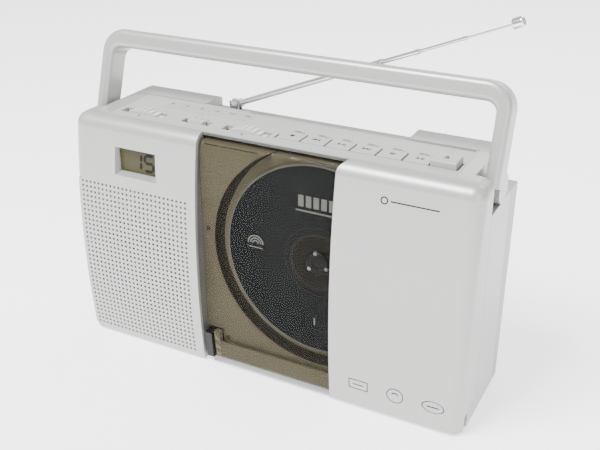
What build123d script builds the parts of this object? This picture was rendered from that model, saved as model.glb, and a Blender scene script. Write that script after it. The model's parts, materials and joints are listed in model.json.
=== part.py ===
"""Portable radio with an upright disc door, a folding handle and a telescopic antenna.

Millimetres. X runs to the right, Y towards the rear, Z up. The origin is on the resting
surface, under the middle of the body. Each piece is one node in parts/.
"""

from build123d import *
from math import cos, radians, sin, sqrt
import os

os.makedirs("parts", exist_ok=True)

# ---------------------------------------------------------------- driving dimensions
body_w = 261.2
body_h = 151.5
body_d = 77.2
foot_proud = 1.5
wall = 2.4
bow_r = 570.0  # radius of the front's gentle bow
bow_rise = 63.0  # height of the bow's most forward line above the base
roll_r = 8.5  # top front roll
end_r = 7.5  # rounding of the left and right ends
rear_r = 3.0
groove = 0.8  # visible joint between rear case and top panel
seam = 0.3  # joint between other mouldings
fit = 0.15  # clearance between a panel and its opening
run = 0.05  # radial running clearance of a shaft

# joints between the mouldings, seen from the side
top_seam_back = 14.6  # top seam behind the front
side_seam_back = 22.6  # side seam behind the front, at its top
side_seam_drop = 12.0  # side seam's upper end below the top
seam_slope = 0.0565
rear_seam_back = 59.7  # rear case seam behind the front, at its reference height
rear_seam_ref = 128.0
flange_low = 10.0  # the door's side flange ends this far above the base
door_lip = 9.6  # depth of the door's lower lip
door_lift = 0.6
low_seam_back = 14.6
lip_t = 1.2  # lip of the rear case in front of the antenna channel

# door
door_left = -38.7
panel_right = -40.0
window_inset = 0.5
cover_left = 49.0
cover_corner = 6.0
liner_t = 1.6
liner_x0 = 52.0
liner_low = 13.0
liner_high = 136.0
window_tuck = 8.0
lug_t = 4.0
hinge_block_w = 5.0
hinge_back = 8.6  # hinge axis behind the front
hinge_rise = 7.5
hinge_pin_r = 1.5
lug_r = 4.4
hinge_slot_w = 5.6
hinge_slot_h = 22.5

# disc and deck
disc_x = 37.0
disc_rise = 85.9
disc_r = 60.0
disc_t = 1.2
disc_back = 10.2  # disc face behind the front
well_r = 68.5
well_depth = 4.6
deck_back = 8.6
deck_t = 2.4
deck_rise = 14.0
deck_skirt = 12.8
hub_r = 7.4
turntable_r = 15.0
disc_bore_r = 7.5
hub_proud = 1.8
ball_r = 1.3
ball_in = 1.0
ball_angle = 100.0
shaft_r = 1.0
shaft_len = 14.0
damper_t = 2.6
chassis_t = 1.6
rod_gap = 17.0
guide_r = 1.5
lead_r = 1.2
screw_drop = 9.0
sled_w = 22.0
sled_travel = 33.0
deck_foot_x = 2.0

# speaker and display
grille_cols = 26
grille_rows = 33
grille_dx = 3.08
grille_dz = 3.25
grille_hole_r = 0.88
grille_x = -85.5
grille_rise = 57.0
grille_margin = 1.6
blind_depth = 1.2
speaker_x = -85.5
speaker_rise = 57.0
speaker_r = 38.0
lcd_x = -83.2
lcd_rise = 126.6
lcd_w = 28.0
lcd_h = 15.5
lcd_bevel = 1.3
lcd_rim = 3.0
lcd_land = 1.0
lcd_t = 1.4
speaker_back = 4.4

# top panel
key_first_x = 2.0
key_pitch = 15.35
key_gap = 1.1
key_depth = 12.0
key_front = 25.2  # front edge of the keys behind the front
key_count = 6
key_rise = 1.3
open_rise = 4.6
key_travel = 0.8
control_back = 26.2  # line of wheels and switch behind the front
wheel_r = 20.0
wheel_t = 5.6
wheel_proud = 3.0
wheel_ribs = 38
volume_x = -90.0
tuning_x = -17.5
wheel_slot = 31.0
wheel_slot_d = 7.4
switch_x = -52.0
switch_slot = 19.3
switch_slot_d = 6.4
knob_w = 9.6
switch_travel = 4.2
recess_depth = 1.0
scale_ys = (2.6, 11.6)
scale_x0 = -86.0
scale_x1 = -26.0

# handle
arm_depth = 16.0
arm_t = 8.0
arm_lean = 0.012  # inward lean of the arms
arm_straight = 9.0  # the lean starts this far above the pivot
arm_offset = 6.5  # the arms run in front of the pivot
handle_reach = 55.3  # pivot to the top of the bar
bar_t = 11.4
handle_corner_r = 15.0
handle_round = 3.6
handle_rear_round = 1.5
handle_inner_r = 6.0
handle_knee_r = 60.0
handle_tilt = 17.7  # backward lean as it stands
handle_boss_r = 8.4
pivot_back = 40.7
pivot_drop = 12.0  # pivot below the top
handle_pin_r = 4.0
notch_drop = 20.8
notch_back = 23.2

# antenna
antenna_x = -48.0
antenna_back = 64.2
antenna_lift = 0.6  # tilt axis above the top
antenna_angle = 22.0
channel_x0 = -66.0
channel_x1 = 70.0
channel_drop = 6.5
tube_r = (1.8, 1.4, 1.0, 0.6)
tube_bore = (1.45, 1.05, 0.65)
base_len = 106.0
neck = 5.0
swivel_r = 3.9
spigot_r = 1.9
tilt_pin_r = 1.0
fork_gap = 3.2
tongue_back = 2.0  # the tongue behind its pin
stage_len = (100.0, 97.0, 95.0)
stage_out = (23.0, 28.0, 25.0)
tip_r = 3.1
tip_len = 6.6

# rear side
bay_x0 = -75.0
bay_x1 = 78.0
bay_low = 8.5
bay_h = 53.0
bay_depth = 28.0
bay_wall = 1.6
contact_t = 0.4
latch_pin_r = 0.7
latch_pin_len = 2.5
jack_x = -98.0
jack_rise = 98.5
jack_r = 1.8
jack_body_r = 4.0
jack_len = 14.0
inlet_x = -95.0
inlet_rise = 29.0
inlet_w = 25.0
inlet_h = 17.0
inlet_slot_w = 17.0
inlet_slot_h = 9.0
inlet_depth = 12.0
inlet_pin_gap = 8.0
vent_x = -48.0
vent_rise = 92.0
vent_w = 46.0
vent_h = 1.8
vent_pitch = 5.0
vent_count = 7
label_x = 44.0
label_rise = 92.0
label_w = 62.0
label_h = 26.0
label_depth = 0.5
grip_count = 4
boss_rises = (12.5, 116.5)
boss_r = 4.5
screw_r = 1.5
screw_head_r = 3.0
screw_sink = 6.0
foot_r = 6.0

# boards
board_t = 1.6
ferrite_r = 5.0
ferrite_len = 72.0

# ---------------------------------------------------------------- derived places
y_front = -body_d / 2
y_rear = body_d / 2
base_z = foot_proud
top_z = base_z + body_h
bow_z = base_z + bow_rise
end_x = body_w / 2
notch_x = end_x - 10.6
panel_x0 = -end_x + 21.0
panel_x1 = end_x - 18.9
boss_x = end_x - 18.6
foot_x = end_x - 25.6
hinge_right_x = end_x - 17.1
liner_x1 = end_x - 6.6
handle_w = body_w + 1.0
top_seam_y = y_front + top_seam_back
side_seam_y = y_front + side_seam_back
side_seam_z = top_z - side_seam_drop
low_seam_y = y_front + low_seam_back
flange_z = base_z + flange_low
notch_z = top_z - notch_drop
notch_y = y_front + notch_back
control_y = y_front + control_back
hinge_y = y_front + hinge_back
hinge_z = base_z + hinge_rise
disc_z = base_z + disc_rise
disc_y = y_front + disc_back
deck_y = y_front + deck_back
well_floor_y = deck_y + well_depth
pivot_y = y_front + pivot_back
pivot_z = top_z - pivot_drop
antenna_y = y_front + antenna_back
antenna_z = top_z + antenna_lift
channel_z = top_z - channel_drop
key_y0 = y_front + key_front
panel_under = top_z - wall
key_under = panel_under - 1.6
key_foot = key_under - 3.4
board_top = key_foot - 3.4
catch_y = top_seam_y - 1.8
boss_y = y_front + rear_seam_back - 12.1
ferrite_y = antenna_y - 12.6
foot_ys = (y_front + 24.6, y_rear - 20.6)
far = 400.0  # longer than anything in the model


def bow_y(z):
    """Front surface at height z."""
    return y_front + bow_r - sqrt(bow_r**2 - (z - bow_z) ** 2)


def side_seam(z):
    """Door's and front panel's side joint at height z."""
    return side_seam_y + (side_seam_z - z) * seam_slope


def rear_seam(z):
    """Joint between the middle and rear case at height z."""
    return y_front + rear_seam_back + (base_z + rear_seam_ref - z) * seam_slope


def key_x(index):
    """Middle of a key's place, counted from the left."""
    return key_first_x + key_pitch * (index + 0.5)


def save(piece, name):
    """Write one finished piece as a node."""
    piece.part.label = name
    export_step(piece.part, f"parts/{name}.step")


# ---------------------------------------------------------------- shared forms
def body_form(inset):
    """The body's rounded block with its handle notches, smaller by inset on every side."""
    side = end_x - inset
    with BuildPart(mode=Mode.PRIVATE) as form:
        with BuildSketch(Plane.YZ) as section:
            with BuildLine():
                ThreePointArc((bow_y(base_z), base_z), (y_front, bow_z), (bow_y(top_z), top_z))
                Polyline((bow_y(top_z), top_z), (y_rear, top_z), (y_rear, base_z), (bow_y(base_z), base_z))
            make_face()
            fillet(section.vertices().filter_by(lambda v: v.X < 0 and v.Y > bow_z), roll_r)
            if inset > 0:
                offset(amount=-inset)
        extrude(amount=side, both=True)
        with BuildSketch(Plane.XZ.offset(-y_rear - 1)):
            with Locations((notch_x - inset, notch_z - inset)):
                Rectangle(far, far, align=(Align.MIN, Align.MIN))
            with Locations((inset - notch_x, notch_z - inset)):
                Rectangle(far, far, align=(Align.MAX, Align.MIN))
        extrude(amount=y_rear + 1 - notch_y + inset, mode=Mode.SUBTRACT)
        front_ends = form.edges().filter_by(
            lambda e: abs(abs(e.center().X) - side) < 0.01
            and e.center().Y < notch_y - inset - 0.1
            and e.center().Z > base_z + flange_low
        )
        fillet(front_ends, end_r - inset)
        rear_edges = form.edges().filter_by(
            lambda e: e.center().Y > y_rear - inset - 0.01 and e.center().Z > base_z + inset + 1
        )
        fillet(rear_edges, max(rear_r - inset, 0.6))
    return form.part


def side_prism(points, x0=-far, x1=far):
    """A prism along X whose outline is given in Y and Z."""
    with BuildPart(mode=Mode.PRIVATE) as prism:
        with BuildSketch(Plane.YZ.offset(x0)):
            Polygon(*points, align=None)
        extrude(amount=x1 - x0)
    return prism.part


def block(x0, x1, y0, y1, z0, z1):
    with BuildPart(mode=Mode.PRIVATE) as piece:
        with Locations(((x0 + x1) / 2, (y0 + y1) / 2, (z0 + z1) / 2)):
            Box(x1 - x0, y1 - y0, z1 - z0)
    return piece.part


def rod_x(y, z, radius, x0, x1):
    """A round bar along X."""
    with BuildPart(mode=Mode.PRIVATE) as piece:
        with BuildSketch(Plane.YZ.offset(x0)):
            with Locations((y, z)):
                Circle(radius)
        extrude(amount=x1 - x0)
    return piece.part


def rod_y(x, z, radius, y0, y1):
    """A round bar along Y."""
    with BuildPart(mode=Mode.PRIVATE) as piece:
        with BuildSketch(Plane.XZ.offset(-y0)):
            with Locations((x, z)):
                Circle(radius)
        extrude(amount=-(y1 - y0))
    return piece.part


def rod_z(x, y, radius, z0, z1):
    """A round bar along Z."""
    with BuildPart(mode=Mode.PRIVATE) as piece:
        with BuildSketch(Plane.XY.offset(z0)):
            with Locations((x, y)):
                Circle(radius)
        extrude(amount=z1 - z0)
    return piece.part


# ---------------------------------------------------------------- dividing shapes
channel_y = rear_seam(channel_z - wall) + seam / 2
channel = block(channel_x0, channel_x1, channel_y + lip_t, far, channel_z, far)
channel_shell = block(channel_x0 - wall, channel_x1 + wall, channel_y, far, channel_z - wall, far)
outer = body_form(0)
inner = body_form(wall)
with BuildPart() as cavity:
    add(inner)
    add(channel_shell, mode=Mode.SUBTRACT)

seam_turn = side_seam_z + 5.0  # the seam is level with the top seam from here up
front_zone = side_prism(
    [
        (-far, -far),
        (low_seam_y - seam, -far),
        (low_seam_y - seam, flange_z),
        (side_seam(flange_z), flange_z),
        (side_seam_y, side_seam_z),
        (top_seam_y, seam_turn),
        (top_seam_y, far),
        (-far, far),
    ]
)
door_zone = side_prism(
    [
        (-far, base_z + door_lift),
        (y_front + door_lip, base_z + door_lift),
        (y_front + door_lip, flange_z),
        (side_seam(flange_z), flange_z),
        (side_seam_y, side_seam_z),
        (top_seam_y, seam_turn),
        (top_seam_y, far),
        (-far, far),
    ]
)
middle_zone = side_prism(
    [
        (low_seam_y, -far),
        (rear_seam(-far) - seam / 2, -far),
        (rear_seam(far) - seam / 2, far),
        (top_seam_y + seam, far),
        (top_seam_y + seam, seam_turn),
        (side_seam_y + seam, side_seam_z),
        (side_seam(flange_z) + seam, flange_z - seam),
        (low_seam_y, flange_z - seam),
    ]
)
rear_zone = side_prism(
    [(rear_seam(-far) + seam / 2, -far), (far, -far), (far, far), (rear_seam(far) + seam / 2, far)]
)

# ---------------------------------------------------------------- left front moulding
grille_h = grille_dz * grille_rows
grille_w = grille_dx * grille_cols + 2 * grille_margin
grille_z0 = base_z + grille_rise - grille_h / 2
grille_x0 = grille_x - grille_w / 2
lcd_z = base_z + lcd_rise
lcd_y = bow_y(lcd_z + lcd_h) + wall
pad_w = lcd_w + 2 * lcd_rim
pad_h = lcd_h + 2 * lcd_rim

with BuildPart() as panel_return:
    add(inner)
    add(front_zone, mode=Mode.INTERSECT)
    add(block(panel_right - wall, panel_right, -far, far, -far, far), mode=Mode.INTERSECT)

with BuildPart() as lcd_pad:
    add(inner)
    add(
        block(lcd_x - pad_w / 2, lcd_x + pad_w / 2, -far, lcd_y, lcd_z - pad_h / 2, lcd_z + pad_h / 2),
        mode=Mode.INTERSECT,
    )

with BuildPart() as speaker_panel:
    add(outer)
    add(inner, mode=Mode.SUBTRACT)
    add(front_zone, mode=Mode.INTERSECT)
    add(block(-far, panel_right, -far, far, -far, far), mode=Mode.INTERSECT)
    add(panel_return.part)
    add(lcd_pad.part)
    add(
        block(grille_x0, grille_x0 + grille_w, -far, -lcd_rim, grille_z0, grille_z0 + grille_h),
        mode=Mode.SUBTRACT,
    )
    with BuildSketch(Plane.XZ.offset(-bow_y(lcd_z - lcd_h) + lcd_bevel)):
        with Locations((lcd_x, lcd_z)):
            Rectangle(lcd_w + 3 * lcd_bevel, lcd_h + 3 * lcd_bevel)
    with BuildSketch(Plane.XZ.offset(-lcd_y + lcd_land)):
        with Locations((lcd_x, lcd_z)):
            Rectangle(lcd_w, lcd_h)
    loft(mode=Mode.SUBTRACT)
    add(
        block(lcd_x - lcd_w / 2, lcd_x + lcd_w / 2, -far, -lcd_rim, lcd_z - lcd_h / 2, lcd_z + lcd_h / 2),
        mode=Mode.SUBTRACT,
    )
save(speaker_panel, "speaker_panel")

# The perforated field is made of one narrow flat per row of holes, each tangent to the bow.
rows = [grille_z0 + grille_dz * row for row in range(grille_rows + 1)]
columns = [grille_x + grille_dx * (col - (grille_cols - 1) / 2) for col in range(grille_cols)]
speaker_z = base_z + speaker_rise


def hole_is_open(x, z):
    """Holes in front of the loudspeaker go through; the others are blind."""
    return (x - speaker_x) ** 2 + (z - speaker_z) ** 2 < (speaker_r - 2) ** 2


with BuildPart() as speaker_grille:
    with BuildSketch(Plane.YZ.offset(grille_x0)):
        with BuildLine():
            Polyline(*[(bow_y(z), z) for z in rows])
            Polyline(*[(bow_y(z) + wall, z) for z in rows])
            Line((bow_y(rows[0]), rows[0]), (bow_y(rows[0]) + wall, rows[0]))
            Line((bow_y(rows[-1]), rows[-1]), (bow_y(rows[-1]) + wall, rows[-1]))
        make_face()
    extrude(amount=grille_w)
    for low in rows[:-1]:
        z = low + grille_dz / 2
        through = [(x, z) for x in columns if hole_is_open(x, z)]
        if through:
            with BuildSketch(Plane.XZ.offset(-bow_y(z) - wall)):
                with Locations(*through):
                    Circle(grille_hole_r)
            extrude(amount=2 * wall, mode=Mode.SUBTRACT)
        with BuildSketch(Plane.XZ.offset(-bow_y(z) - blind_depth)):
            with Locations(*[(x, z) for x in columns if not hole_is_open(x, z)]):
                Circle(grille_hole_r)
        extrude(amount=wall, mode=Mode.SUBTRACT)
save(speaker_grille, "speaker_grille")

with BuildPart() as lcd_glass:
    with Locations((lcd_x, lcd_y + lcd_t / 2, lcd_z)):
        Box(pad_w, lcd_t, pad_h)
save(lcd_glass, "lcd_glass")

# ---------------------------------------------------------------- loudspeaker
flange_y = y_front + speaker_back
cone_back = flange_y + 13.0
basket_back = cone_back + 7.0


def ring_profile(points):
    """A solid turned about the loudspeaker's axis; points are (radius, y)."""
    with BuildPart(mode=Mode.PRIVATE) as turned:
        with BuildSketch(Plane.XY):
            Polygon(*points, align=None)
        revolve(axis=Axis.Y)
    return Location((speaker_x, 0, speaker_z)) * turned.part


gasket_room = body_form(wall + 0.1)
with BuildPart() as speaker_gasket:
    add(rod_y(speaker_x, speaker_z, speaker_r + 3, y_front, flange_y))
    add(rod_y(speaker_x, speaker_z, speaker_r - 1.5, y_front - 1, flange_y + 1), mode=Mode.SUBTRACT)
    add(gasket_room, mode=Mode.INTERSECT)
save(speaker_gasket, "speaker_gasket")

with BuildPart() as speaker_basket:
    add(
        ring_profile(
            [
                (speaker_r + 3, flange_y),
                (speaker_r + 3, flange_y + 1.2),
                (speaker_r - 2, flange_y + 1.2),
                (18.0, basket_back),
                (9.0, basket_back),
                (9.0, basket_back - 1.2),
                (17.0, basket_back - 1.2),
                (speaker_r - 3, flange_y),
            ]
        )
    )
    with BuildSketch(Plane.XZ.offset(-flange_y - 3)):
        with Locations((speaker_x, speaker_z)):
            with PolarLocations(27, 4, start_angle=45):
                Rectangle(11, 18)
    extrude(amount=-12, mode=Mode.SUBTRACT)
save(speaker_basket, "speaker_basket")

with BuildPart() as speaker_cone:
    add(
        ring_profile(
            [
                (speaker_r - 3.4, flange_y),
                (speaker_r - 5.0, flange_y - 0.2),
                (speaker_r - 8.0, flange_y),
                (9.0, cone_back),
                (0.0, cone_back - 4.0),
                (0.0, cone_back - 3.0),
                (8.0, cone_back + 1.0),
                (speaker_r - 8.0, flange_y + 1.0),
                (speaker_r - 5.0, flange_y + 0.8),
                (speaker_r - 4.0, flange_y + 0.6),
            ]
        )
    )
save(speaker_cone, "speaker_cone")

with BuildPart() as speaker_magnet:
    add(rod_y(speaker_x, speaker_z, 21.0, basket_back, basket_back + 9.0))
    add(rod_y(speaker_x, speaker_z, 8.0, cone_back + 1.6, basket_back))
save(speaker_magnet, "speaker_magnet")

# ---------------------------------------------------------------- middle and rear case
panel_rear_y = rear_seam(top_z) - groove
bosses = [(side * boss_x, base_z + rise) for side in (-1, 1) for rise in boss_rises]


def boss_block(x, z, y0, y1):
    """A screw boss that runs out to the side wall."""
    x_out = (end_x - wall + 0.5) * (1 if x > 0 else -1)
    x_in = x - boss_r * (1 if x > 0 else -1)
    return block(min(x_in, x_out), max(x_in, x_out), y0, y1, z - boss_r, z + boss_r)


with BuildPart() as middle_case:
    add(outer)
    add(cavity.part, mode=Mode.SUBTRACT)
    for x, z in bosses:
        add(boss_block(x, z, boss_y, far))
    add(outer, mode=Mode.INTERSECT)
    add(middle_zone, mode=Mode.INTERSECT)
    for x, z in bosses:
        add(rod_y(x, z, screw_r, boss_y + 4, far), mode=Mode.SUBTRACT)
    add(block(panel_x0, panel_x1, -far, far, panel_under - 1, far), mode=Mode.SUBTRACT)
    for side in (-1, 1):
        pin_x = sorted((side * (notch_x - wall - 1), side * notch_x))
        add(rod_x(pivot_y, pivot_z, handle_pin_r, *pin_x), mode=Mode.SUBTRACT)
save(middle_case, "middle_case")

jack_z = base_z + jack_rise
inlet_z = base_z + inlet_rise
bay_z0 = base_z + bay_low
bay_z1 = bay_z0 + bay_h
door_axis_y = y_rear - wall / 2
door_axis_z = bay_z0 + fit + wall / 2

with BuildPart() as rear_case:
    add(outer)
    add(cavity.part, mode=Mode.SUBTRACT)
    for x, z in bosses:
        add(boss_block(x, z, 0, far))
    add(outer, mode=Mode.INTERSECT)
    add(rear_zone, mode=Mode.INTERSECT)
    add(channel, mode=Mode.SUBTRACT)
    add(block(channel_x0, channel_x1, -far, far, panel_under - 0.2, far), mode=Mode.SUBTRACT)
    for x, z in bosses:
        add(rod_y(x, z, screw_r, 0, far), mode=Mode.SUBTRACT)
        add(rod_y(x, z, screw_head_r, y_rear - screw_sink, far), mode=Mode.SUBTRACT)
    add(block(bay_x0, bay_x1, 0, far, bay_z0, bay_z1), mode=Mode.SUBTRACT)
    add(
        rod_x(
            door_axis_y, door_axis_z, latch_pin_r + run,
            bay_x0 - latch_pin_len - 0.3, bay_x1 + latch_pin_len + 0.3,
        ),
        mode=Mode.SUBTRACT,
    )
    with BuildSketch(Plane.XZ.offset(-y_rear)):
        with Locations((vent_x, base_z + vent_rise)):
            with GridLocations(0, vent_pitch, 1, vent_count):
                SlotOverall(vent_w, vent_h)
    extrude(amount=2 * wall, mode=Mode.SUBTRACT)
    with BuildSketch(Plane.XZ.offset(-y_rear)):
        with Locations((label_x, base_z + label_rise)):
            RectangleRounded(label_w, label_h, 1.5)
    extrude(amount=label_depth, mode=Mode.SUBTRACT)
    add(rod_z(antenna_x, antenna_y, swivel_r + 1, channel_z - 1, channel_z + 1.5))
    add(rod_z(antenna_x, antenna_y, spigot_r + run, -far, far), mode=Mode.SUBTRACT)
    add(rod_y(jack_x, jack_z, jack_body_r, 0, far), mode=Mode.SUBTRACT)
    with Locations((inlet_x, y_rear, inlet_z)):
        Box(inlet_w, 2 * body_d / 3, inlet_h, mode=Mode.SUBTRACT)
save(rear_case, "rear_case")

with BuildPart() as case_screws:
    for x, z in bosses:
        add(rod_y(x, z, screw_r, boss_y + 6, y_rear - screw_sink))
        add(rod_y(x, z, screw_head_r - 0.1, y_rear - screw_sink, y_rear - screw_sink + 1.6))
        add(block(x - 2, x + 2, y_rear - screw_sink + 1.0, far, z - 0.4, z + 0.4), mode=Mode.SUBTRACT)
        add(block(x - 0.4, x + 0.4, y_rear - screw_sink + 1.0, far, z - 2, z + 2), mode=Mode.SUBTRACT)
save(case_screws, "case_screws")

with BuildPart() as feet:
    for x in (-foot_x, foot_x):
        for y in foot_ys:
            add(rod_z(x, y, foot_r, 0, base_z))
    fillet(feet.edges().group_by(Axis.Z)[0], 0.5)
save(feet, "feet")

# ---------------------------------------------------------------- battery bay
with BuildPart() as battery_bay:
    add(
        block(
            bay_x0 - bay_wall, bay_x1 + bay_wall, y_rear - bay_depth, y_rear - wall,
            bay_z0 - bay_wall, bay_z1 + bay_wall,
        )
    )
    add(block(bay_x0, bay_x1, y_rear - bay_depth + bay_wall, far, bay_z0, bay_z1), mode=Mode.SUBTRACT)
save(battery_bay, "battery_bay")

with BuildPart() as battery_contacts:
    contact_rows = (bay_z0 + bay_h / 4, bay_z0 + 3 * bay_h / 4)
    contact_y = y_rear - bay_depth / 2
    for z in contact_rows:
        for x0 in (bay_x0, bay_x1 - contact_t):
            add(block(x0, x0 + contact_t, contact_y - 6, contact_y + 6, z - 8, z + 8))
save(battery_contacts, "battery_contacts")

with BuildPart() as battery_door:
    door_half = wall / 2
    with BuildSketch(Plane.YZ.offset(bay_x0 + fit)):
        with BuildLine():
            Polyline(
                (y_rear, door_axis_z),
                (y_rear, bay_z1 - fit),
                (y_rear - wall, bay_z1 - fit),
                (y_rear - wall, door_axis_z),
            )
            ThreePointArc(
                (y_rear - wall, door_axis_z), (door_axis_y, door_axis_z - door_half), (y_rear, door_axis_z)
            )
        make_face()
    extrude(amount=bay_x1 - bay_x0 - 2 * fit)
    add(rod_x(door_axis_y, door_axis_z, latch_pin_r, bay_x0 - latch_pin_len, bay_x1 + latch_pin_len))
    with BuildSketch(Plane.XZ.offset(-y_rear)):
        with Locations(((bay_x0 + bay_x1) / 2, bay_z1 - 7)):
            SlotOverall(22, 7)
        with Locations(((bay_x0 + bay_x1) / 2, bay_z1 - 18)):
            with GridLocations(0, 3.0, 1, grip_count):
                SlotOverall(34, 1.2)
    extrude(amount=0.9, mode=Mode.SUBTRACT)
save(battery_door, "battery_door")

# ---------------------------------------------------------------- sockets
with BuildPart() as headphone_jack:
    add(rod_y(jack_x, jack_z, jack_body_r, y_rear - jack_len - 2, y_rear))
    add(rod_y(jack_x, jack_z, jack_r, y_rear - jack_len, far), mode=Mode.SUBTRACT)
save(headphone_jack, "headphone_jack")

with BuildPart() as mains_inlet:
    add(
        block(
            inlet_x - inlet_w / 2, inlet_x + inlet_w / 2, y_rear - inlet_depth - 3, y_rear,
            inlet_z - inlet_h / 2, inlet_z + inlet_h / 2,
        )
    )
    with BuildSketch(Plane.XZ.offset(-y_rear)):
        with Locations((inlet_x, inlet_z)):
            SlotOverall(inlet_slot_w, inlet_slot_h)
    extrude(amount=inlet_depth, mode=Mode.SUBTRACT)
save(mains_inlet, "mains_inlet")

with BuildPart() as mains_pins:
    for x in (inlet_x - inlet_pin_gap / 2, inlet_x + inlet_pin_gap / 2):
        add(rod_y(x, inlet_z, 1.2, y_rear - inlet_depth, y_rear - 3))
save(mains_pins, "mains_pins")

# ---------------------------------------------------------------- disc door
open_x = key_x(key_count)
window_outer = body_form(window_inset)
window_inner = body_form(window_inset + wall)
liner_inner = body_form(wall + liner_t)
with BuildPart() as cover_prism:
    with BuildSketch(Plane.XZ.offset(-y_front + 5)):
        with Locations((cover_left, base_z - cover_corner)):
            RectangleRounded(body_w, body_h + cover_corner, cover_corner, align=(Align.MIN, Align.MIN))
    extrude(amount=-body_d, both=True)
with BuildPart() as cover_gap:
    with BuildSketch(Plane.XZ.offset(-y_front + 5)):
        with Locations((cover_left - fit, base_z - cover_corner)):
            gap_h = body_h + cover_corner + fit
            RectangleRounded(body_w, gap_h, cover_corner + fit, align=(Align.MIN, Align.MIN))
    extrude(amount=-body_d, both=True)

with BuildPart() as door_cover:
    add(outer)
    add(inner, mode=Mode.SUBTRACT)
    add(door_zone, mode=Mode.INTERSECT)
    add(cover_prism.part, mode=Mode.INTERSECT)
save(door_cover, "door_cover")

with BuildPart() as door_window:
    add(window_outer)
    add(window_inner, mode=Mode.SUBTRACT)
    add(door_zone, mode=Mode.INTERSECT)
    add(block(door_left, cover_left + window_tuck, -far, far, -far, far), mode=Mode.INTERSECT)
    add(cover_gap.part, mode=Mode.SUBTRACT)
    add(
        block(-far, door_left + hinge_slot_w, -far, far, -far, base_z + hinge_slot_h),
        mode=Mode.SUBTRACT,
    )
save(door_window, "door_window")

with BuildPart() as door_liner:
    add(inner)
    add(liner_inner, mode=Mode.SUBTRACT)
    add(block(liner_x0, liner_x1, -far, far, base_z + liner_low, base_z + liner_high), mode=Mode.INTERSECT)
    add(block(-far, far, -far, top_seam_y, -far, far), mode=Mode.INTERSECT)
save(door_liner, "door_liner")

lug_x = (door_left + hinge_slot_w + 0.5, hinge_right_x)
with BuildPart() as left_lug:
    add(rod_x(hinge_y, hinge_z, lug_r, lug_x[0], lug_x[0] + lug_t))
    add(
        block(
            lug_x[0], lug_x[0] + lug_t, -far, hinge_y - 0.8, hinge_z - lug_r, base_z + hinge_slot_h
        )
    )
    add(window_inner, mode=Mode.INTERSECT)
with BuildPart() as right_lug:
    add(rod_x(hinge_y, hinge_z, lug_r, lug_x[1], lug_x[1] + lug_t))
    add(block(lug_x[1], lug_x[1] + lug_t, -far, hinge_y, hinge_z - lug_r, hinge_z + lug_r))
    add(inner, mode=Mode.INTERSECT)
with BuildPart() as catch:
    add(block(open_x - 3, open_x + 3, -far, catch_y, panel_under - 5, far))
    hook_slot = block(-far, far, catch_y - 3, catch_y - 1.2, panel_under - 3.4, panel_under - 1.6)
    add(hook_slot, mode=Mode.SUBTRACT)
    add(inner, mode=Mode.INTERSECT)
with BuildPart() as door_fittings:
    add(left_lug.part)
    add(right_lug.part)
    add(rod_x(hinge_y, hinge_z, hinge_pin_r + run, -far, far), mode=Mode.SUBTRACT)
    add(catch.part)
save(door_fittings, "door_fittings")

block_top = base_z + hinge_slot_h - 1.2
bracket_x0 = lug_x[1] + lug_t + 0.4
bracket_x1 = bracket_x0 + 4.6
bearing_r = hinge_pin_r + 1.3
with BuildPart() as hinge_blocks:
    slot_x0 = door_left + 0.2
    add(block(slot_x0, slot_x0 + hinge_block_w, -far, low_seam_y, base_z + wall + 0.2, block_top))
    add(block(slot_x0, slot_x0 + hinge_block_w, low_seam_y - 1, low_seam_y + 8, base_z + wall, hinge_z + 3))
    add(rod_x(hinge_y, hinge_z, bearing_r, bracket_x0, bracket_x1))
    add(block(bracket_x0, bracket_x1, hinge_y, low_seam_y + 8, hinge_z - 1, hinge_z + 4))
    add(block(bracket_x0, bracket_x1, low_seam_y + 0.8, low_seam_y + 8, base_z + wall, hinge_z))
    add(body_form(1.0), mode=Mode.INTERSECT)
    add(rod_x(hinge_y, hinge_z, hinge_pin_r, -far, far), mode=Mode.SUBTRACT)
save(hinge_blocks, "hinge_blocks")

with BuildPart() as hinge_pins:
    add(rod_x(hinge_y, hinge_z, hinge_pin_r, slot_x0 + 1, lug_x[0] + lug_t))
    add(rod_x(hinge_y, hinge_z, hinge_pin_r, lug_x[1], lug_x[1] + lug_t + 4.5))
save(hinge_pins, "hinge_pins")

# ---------------------------------------------------------------- disc deck
deck_x0 = panel_right + 0.3
deck_x1 = end_x - wall - 0.8
deck_z0 = base_z + deck_rise
deck_z1 = panel_under - 1.0
floor_back = well_floor_y + deck_t
chassis_y = floor_back + damper_t
chassis_rear = chassis_y + chassis_t
sled_y = chassis_rear + 5.8
lens_x = disc_x + 27.0
deck_limit = body_form(wall + liner_t + 0.5)
slot_x0 = lens_x - 6
slot_x1 = lens_x + sled_travel + 6

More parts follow.
